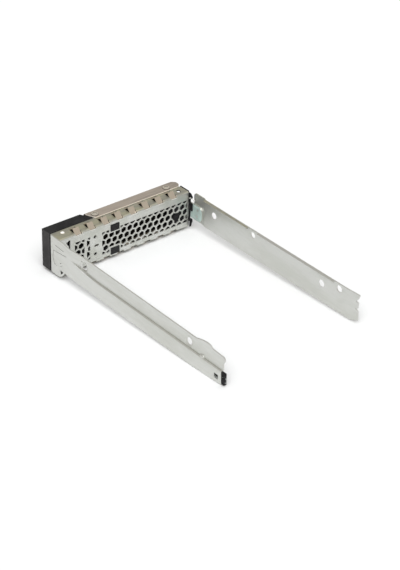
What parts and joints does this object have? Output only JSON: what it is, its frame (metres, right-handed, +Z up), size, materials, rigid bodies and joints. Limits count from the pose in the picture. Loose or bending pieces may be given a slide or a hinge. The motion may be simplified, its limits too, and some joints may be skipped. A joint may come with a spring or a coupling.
{
  "type": "hot swap drive caddy",
  "caption": "Steel tray for a 3.5 inch hot swap drive, with a perforated front housing, spring contact fingers, two side rails and a swinging latch handle.",
  "frame": {"origin": "centre of the bounding box at its lowest level, under the drive bay", "axes": "+X across the bay towards the rail with the light pipes, +Y from the latch handle to the connector end, +Z up as it lies in the picture, which is the drive's underside"},
  "size_m": [0.1058, 0.1782, 0.0304],
  "materials": {
    "plated_steel": "zinc plated, satin",
    "spring_steel": "satin",
    "stainless": "brushed",
    "rivet_steel": "satin",
    "black_plastic": "fine grain",
    "button_plastic": "satin",
    "clear_plastic": "clear moulded"
  },
  "bodies": {
    "frame": {"housing": "plated_steel", "right_rail": "plated_steel", "left_rail": "plated_steel", "top_contact_strip": "spring_steel", "bottom_contact_strip": "spring_steel", "bezel": "black_plastic", "hinge_block": "black_plastic", "latch_pivot_pin": "rivet_steel", "button_spring": "spring_steel", "status_light_pipe": "clear_plastic", "activity_light_pipe": "clear_plastic", "light_guide_holder": "black_plastic", "right_rivet_upper": "rivet_steel", "right_rivet_lower": "rivet_steel", "left_rivet_upper": "rivet_steel", "left_rivet_lower": "rivet_steel"},
    "handle": {"handle_channel": "stainless", "catch_pin": "rivet_steel", "pivot_pin": "rivet_steel"},
    "button": {"release_button": "button_plastic"},
    "latch": {"latch_hook": "black_plastic"}
  },
  "joints": [
    {"name": "handle_swing", "type": "hinge", "parent": "frame", "child": "handle", "pos_m": [-0.0404, -0.0818, 0.0152], "axis": [0, 0, -1], "range_deg": [0, 50]},
    {"name": "button_press", "type": "slide", "parent": "frame", "child": "button", "axis": [0, 1, 0], "range_m": [0, 0.0018], "stiffness_N_per_m": 800, "springref_m": -0.0005, "deforming": ["button_spring"]},
    {"name": "latch_turn", "type": "hinge", "parent": "frame", "child": "latch", "pos_m": [0.024, -0.0775, 0.0152], "axis": [0, 0, 1], "range_deg": [0, 12.5]}
  ],
  "couplings": [
    {"joint": "latch_turn", "follows": "button_press", "rad_per_m": 115}
  ]
}
